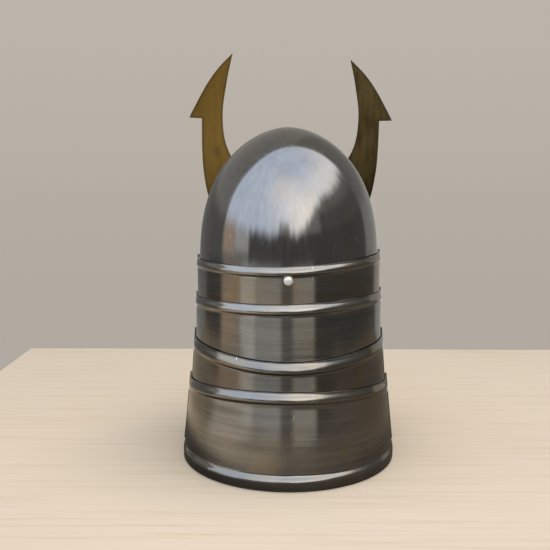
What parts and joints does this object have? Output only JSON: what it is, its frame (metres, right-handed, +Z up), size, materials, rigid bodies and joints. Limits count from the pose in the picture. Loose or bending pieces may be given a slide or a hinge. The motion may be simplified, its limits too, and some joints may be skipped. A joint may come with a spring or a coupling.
{
  "type": "samurai helmet",
  "caption": "Dark steel samurai helmet with an egg-shaped bowl, a neck guard of lames that pivot on side rivets, a plain peak and a brass crest with two barbed horns.",
  "frame": {"origin": "bottom centre of the bounding box: on the surface that the helmet stands on, midway between the back of the rim and the front of the peak, on the middle line from side to side", "axes": "+Z up, +Y to the open face, +X to the wearer's right"},
  "size_m": [0.2504, 0.3024, 0.4617],
  "materials": {
    "dark_steel": "blackened steel sheet, burnished, with brushing marks, nicks and a satin shine",
    "tarnished_brass": "brass sheet, tarnished olive brown, streaked",
    "rivet_metal": "bright domed heads, lightly worn"
  },
  "bodies": {
    "bowl_body": {"bowl": "dark_steel", "peak": "dark_steel", "crest": "tarnished_brass", "lame_1": "dark_steel", "rivet_left_1": "rivet_metal", "rivet_right_1": "rivet_metal", "rivet_back": "rivet_metal", "crest_rivet_left": "rivet_metal", "crest_rivet_right": "rivet_metal", "peak_rivet_left": "rivet_metal", "peak_rivet_middle": "rivet_metal", "peak_rivet_right": "rivet_metal"},
    "lame_2_body": {"lame_2": "dark_steel", "rivet_left_2": "rivet_metal", "rivet_right_2": "rivet_metal"},
    "lame_3_body": {"lame_3": "dark_steel", "rivet_left_3": "rivet_metal", "rivet_right_3": "rivet_metal"},
    "lame_4_body": {"lame_4": "dark_steel", "rivet_left_4": "rivet_metal", "rivet_right_4": "rivet_metal"}
  },
  "joints": [
    {"name": "lame_2_pivot", "type": "hinge", "parent": "bowl_body", "child": "lame_2_body", "pos_m": [-0.00002, -0.00705, 0.17187], "axis": [-0.9996, 0, -0.0279], "range_deg": [-3, 3]},
    {"name": "lame_3_pivot", "type": "hinge", "parent": "lame_2_body", "child": "lame_3_body", "pos_m": [-0.00002, -0.00705, 0.12045], "axis": [-1, 0, -0.0026], "range_deg": [-3, 3]},
    {"name": "lame_4_pivot", "type": "hinge", "parent": "lame_3_body", "child": "lame_4_body", "pos_m": [0.00006, -0.00705, 0.07226], "axis": [-1, 0, 0.0052], "range_deg": [-3, 3]}
  ]
}
